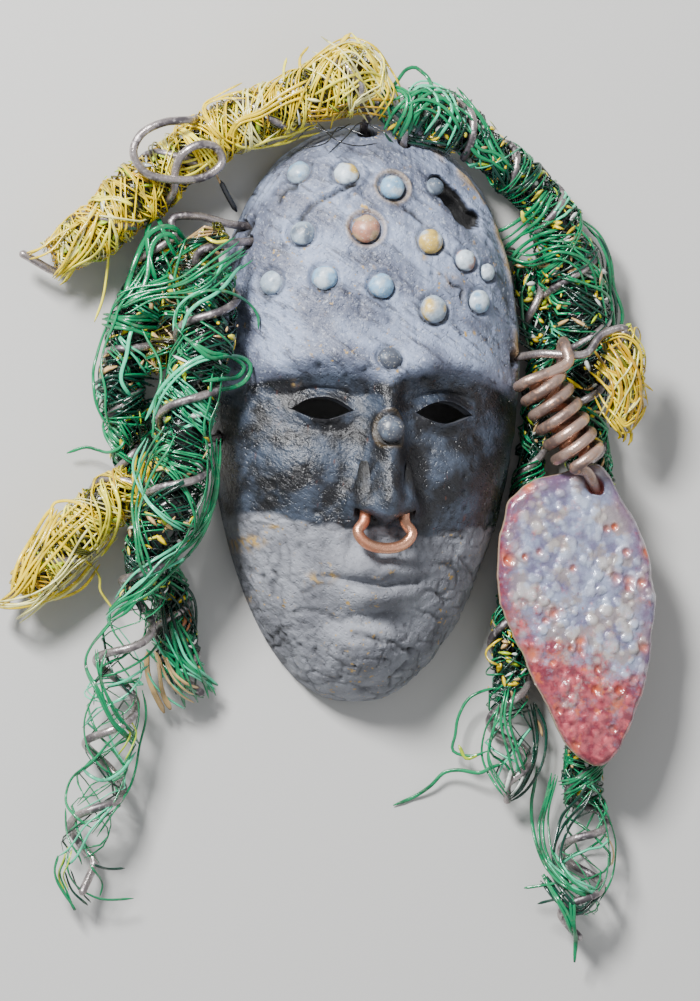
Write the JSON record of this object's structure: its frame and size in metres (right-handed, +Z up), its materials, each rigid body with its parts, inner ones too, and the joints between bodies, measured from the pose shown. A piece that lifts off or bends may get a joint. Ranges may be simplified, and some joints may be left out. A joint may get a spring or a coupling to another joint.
{
  "type": "raku mask",
  "caption": "Hollow clay face mask with wire-and-netting hair locks, a nose ring and a leaf-shaped pendant on a coiled wire.",
  "frame": {"origin": "middle of the underside of the box round the whole part, on the surface that it lies on", "axes": "+X to the viewer's right, +Y toward the crown, +Z up and out of the face"},
  "size_m": [0.2378, 0.3202, 0.0606],
  "materials": {
    "smoked_clay": "smoke-fired clay, blue-grey satin brow, black middle band and rough grey jaw",
    "bright_copper": "bright bare copper wire",
    "grey_wire": "warm grey satin armature wire",
    "green_netting": "glossy green plastic raffia netting",
    "yellow_netting": "glossy yellow plastic raffia netting",
    "dull_copper": "dull brown-grey copper wire",
    "lustre_glaze": "pitted raku lustre, silver-blue above and copper-red below"
  },
  "bodies": {
    "root": {"mask": "smoked_clay", "nose_ring": "bright_copper", "crown_left_lock_wire": "grey_wire", "crown_left_lock_net": "yellow_netting", "temple_outer_lock_wire": "grey_wire", "temple_outer_lock_net": "green_netting", "temple_long_lock_wire": "grey_wire", "temple_long_lock_net": "green_netting", "low_left_lock_wire": "grey_wire", "low_left_lock_net": "yellow_netting", "crown_right_lock_wire": "grey_wire", "crown_right_lock_net": "green_netting", "right_inner_lock_wire": "grey_wire", "right_inner_lock_net": "green_netting", "right_end_lock_wire": "grey_wire", "right_end_lock_net": "yellow_netting", "curl_wire": "grey_wire", "pendant_coil": "dull_copper", "pendant": "lustre_glaze"}
  },
  "joints": []
}
